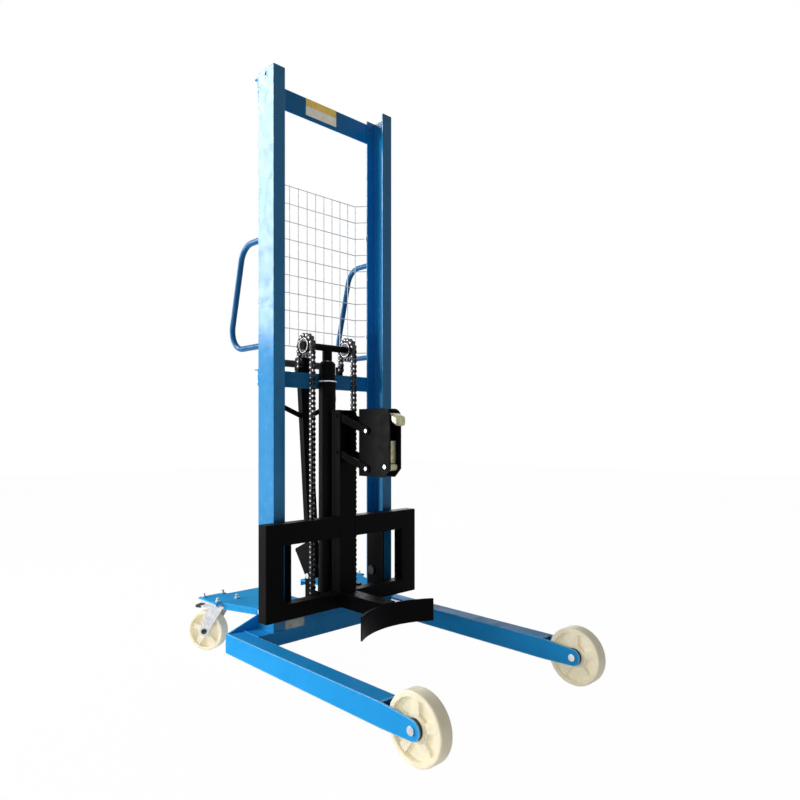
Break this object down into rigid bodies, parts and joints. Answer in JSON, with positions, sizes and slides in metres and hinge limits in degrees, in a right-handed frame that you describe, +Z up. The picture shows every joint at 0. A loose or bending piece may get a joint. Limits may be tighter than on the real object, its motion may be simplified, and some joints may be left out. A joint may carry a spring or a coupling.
{
  "type": "drum hand truck",
  "caption": "Hydraulic drum lifting truck: straddle legs on nylon wheels, channel mast, chain-lifted carriage with a rim clamp, pump tiller and braked casters.",
  "frame": {"origin": "on the floor, in the middle of the truck's outline", "axes": "+Z up the mast, -Y towards the drum side and the front wheels, +X across the legs"},
  "size_m": [0.818, 1.3466, 2.132],
  "materials": {
    "blue_paint": "gloss",
    "black_paint": "satin",
    "nylon": "satin",
    "zinc": "satin",
    "yellow_zinc": "satin",
    "wire": "satin",
    "chain_steel": "oiled",
    "chrome": "polished",
    "rubber": "matte"
  },
  "bodies": {
    "chassis": {"leg_left": "blue_paint", "leg_right": "blue_paint", "base_beam": "blue_paint", "back_plate": "blue_paint", "rear_platform": "blue_paint", "upright_left": "blue_paint", "upright_right": "blue_paint", "top_beam": "blue_paint", "mid_beam": "blue_paint", "push_handles": "blue_paint", "beam_studs": "zinc", "guard_mesh": "wire", "cylinder_barrel": "black_paint", "cylinder_gland": "black_paint", "chain_anchors": "black_paint", "front_axles": "zinc", "pump_body": "black_paint", "tiller_pin": "zinc", "caster_plates": "zinc", "caster_bolts": "zinc", "chain_rear_runs": "chain_steel", "pump_spring": "zinc"},
    "crosshead": {"crosshead": "black_paint", "piston_rod": "chrome", "piston": "chain_steel", "chain_wraps": "chain_steel"},
    "sprockets": {"sprockets": "chain_steel"},
    "carriage": {"carriage_frame": "black_paint", "carriage_post": "black_paint", "guide_plates": "black_paint", "roller_pins": "chain_steel", "drum_cradle": "black_paint", "chain_lugs": "black_paint", "chain_front_runs": "chain_steel", "post_pins": "black_paint"},
    "upper_rollers": {"upper_rollers": "chain_steel"},
    "lower_rollers": {"lower_rollers": "chain_steel"},
    "upper_links": {"upper_links": "black_paint"},
    "lower_links": {"lower_links": "black_paint"},
    "clamp_head": {"clamp_plates": "black_paint", "clamp_beak": "yellow_zinc", "clamp_pins": "zinc"},
    "clamp_jaw": {"clamp_jaw": "yellow_zinc"},
    "tiller": {"tiller": "black_paint", "tiller_grips": "rubber"},
    "cam_roller": {"cam_roller": "chain_steel"},
    "release_lever": {"release_lever": "zinc"},
    "plunger": {"plunger": "zinc"},
    "front_wheel_left": {"front_wheel_left": "nylon", "wheel_bearings_left": "chain_steel"},
    "caster_fork_left": {"caster_fork_left": "zinc", "caster_axle_left": "chain_steel"},
    "caster_wheel_left": {"caster_wheel_left": "nylon"},
    "caster_pedal_left": {"caster_pedal_left": "zinc"},
    "front_wheel_right": {"front_wheel_right": "nylon", "wheel_bearings_right": "chain_steel"},
    "caster_fork_right": {"caster_fork_right": "zinc", "caster_axle_right": "chain_steel"},
    "caster_wheel_right": {"caster_wheel_right": "nylon"},
    "caster_pedal_right": {"caster_pedal_right": "zinc"}
  },
  "joints": [
    {"name": "crosshead_lift", "type": "slide", "parent": "chassis", "child": "crosshead", "axis": [0, 0, 1], "range_m": [0, 0.7], "deforming": ["chain_rear_runs"]},
    {"name": "carriage_lift", "type": "slide", "parent": "crosshead", "child": "carriage", "axis": [0, 0, 1], "range_m": [0, 0.7], "deforming": ["chain_front_runs"]},
    {"name": "sprocket_spin", "type": "hinge", "parent": "crosshead", "child": "sprockets", "pos_m": [0, 0.28365, 1.163], "axis": [1, 0, 0], "range_deg": [-1010, 0]},
    {"name": "upper_roller_spin", "type": "hinge", "parent": "carriage", "child": "upper_rollers", "pos_m": [0, 0.27165, 0.463], "axis": [1, 0, 0], "range_deg": [0, 1815]},
    {"name": "lower_roller_spin", "type": "hinge", "parent": "carriage", "child": "lower_rollers", "pos_m": [0, 0.27165, 0.273], "axis": [1, 0, 0], "range_deg": [-1815, 0]},
    {"name": "clamp_float", "type": "hinge", "parent": "carriage", "child": "upper_links", "pos_m": [0, 0.17765, 0.897], "axis": [-1, 0, 0], "range_deg": [0, 45]},
    {"name": "clamp_head_turn", "type": "hinge", "parent": "upper_links", "child": "clamp_head", "pos_m": [0, 0.01465, 0.841], "axis": [-1, 0, 0], "range_deg": [-45, 0]},
    {"name": "lower_link_turn", "type": "hinge", "parent": "carriage", "child": "lower_links", "pos_m": [0, 0.17765, 0.763], "axis": [-1, 0, 0], "range_deg": [0, 45]},
    {"name": "jaw_swing", "type": "hinge", "parent": "clamp_head", "child": "clamp_jaw", "pos_m": [0, -0.07635, 0.717], "axis": [1, 0, 0], "range_deg": [0, 25]},
    {"name": "tiller_pump", "type": "hinge", "parent": "chassis", "child": "tiller", "pos_m": [0, 0.36365, 0.2724], "axis": [-1, 0, 0], "range_deg": [0, 45], "stiffness_Nm_per_rad": 60, "springref_deg": -17.19},
    {"name": "cam_roller_spin", "type": "hinge", "parent": "tiller", "child": "cam_roller", "pos_m": [0, 0.39965, 0.2814], "axis": [1, 0, 0], "continuous": true},
    {"name": "release_pull", "type": "hinge", "parent": "tiller", "child": "release_lever", "pos_m": [0, 0.44193, 1.08044], "axis": [-1, 0, 0], "range_deg": [0, 18], "stiffness_Nm_per_rad": 0.3, "springref_deg": -11.46},
    {"name": "plunger_stroke", "type": "slide", "parent": "chassis", "child": "plunger", "axis": [0, 0, 1], "range_m": [-0.0285, 0], "deforming": ["pump_spring"]},
    {"name": "front_wheel_left_roll", "type": "hinge", "parent": "chassis", "child": "front_wheel_left", "pos_m": [-0.375, -0.57835, 0.095], "axis": [1, 0, 0], "continuous": true},
    {"name": "caster_left_swivel", "type": "hinge", "parent": "chassis", "child": "caster_fork_left", "pos_m": [-0.309, 0.55135, 0.175], "axis": [0, 0, 1], "continuous": true},
    {"name": "caster_left_roll", "type": "hinge", "parent": "caster_fork_left", "child": "caster_wheel_left", "pos_m": [-0.33388, 0.59815, 0.075], "axis": [0.8829, 0.4695, 0], "continuous": true},
    {"name": "caster_left_brake", "type": "hinge", "parent": "caster_fork_left", "child": "caster_pedal_left", "pos_m": [-0.31933, 0.57078, 0.1656], "axis": [-0.8829, -0.4695, 0], "range_deg": [0, 8], "stiffness_Nm_per_rad": 1, "springref_deg": -8.59},
    {"name": "front_wheel_right_roll", "type": "hinge", "parent": "chassis", "child": "front_wheel_right", "pos_m": [0.375, -0.57835, 0.095], "axis": [1, 0, 0], "continuous": true},
    {"name": "caster_right_swivel", "type": "hinge", "parent": "chassis", "child": "caster_fork_right", "pos_m": [0.309, 0.55135, 0.175], "axis": [0, 0, 1], "continuous": true},
    {"name": "caster_right_roll", "type": "hinge", "parent": "caster_fork_right", "child": "caster_wheel_right", "pos_m": [0.28412, 0.59815, 0.075], "axis": [0.8829, 0.4695, 0], "continuous": true},
    {"name": "caster_right_brake", "type": "hinge", "parent": "caster_fork_right", "child": "caster_pedal_right", "pos_m": [0.29867, 0.57078, 0.1656], "axis": [-0.8829, -0.4695, 0], "range_deg": [0, 8], "stiffness_Nm_per_rad": 1, "springref_deg": -8.59}
  ],
  "couplings": [
    {"joint": "carriage_lift", "follows": "crosshead_lift", "ratio": 1},
    {"joint": "sprocket_spin", "follows": "crosshead_lift", "rad_per_m": -25.126},
    {"joint": "upper_roller_spin", "follows": "crosshead_lift", "rad_per_m": 45.147},
    {"joint": "lower_roller_spin", "follows": "crosshead_lift", "rad_per_m": -45.147},
    {"joint": "clamp_head_turn", "follows": "clamp_float", "ratio": -1},
    {"joint": "lower_link_turn", "follows": "clamp_float", "ratio": 1},
    {"joint": "plunger_stroke", "follows": "tiller_pump", "m_per_rad": -0.036}
  ]
}
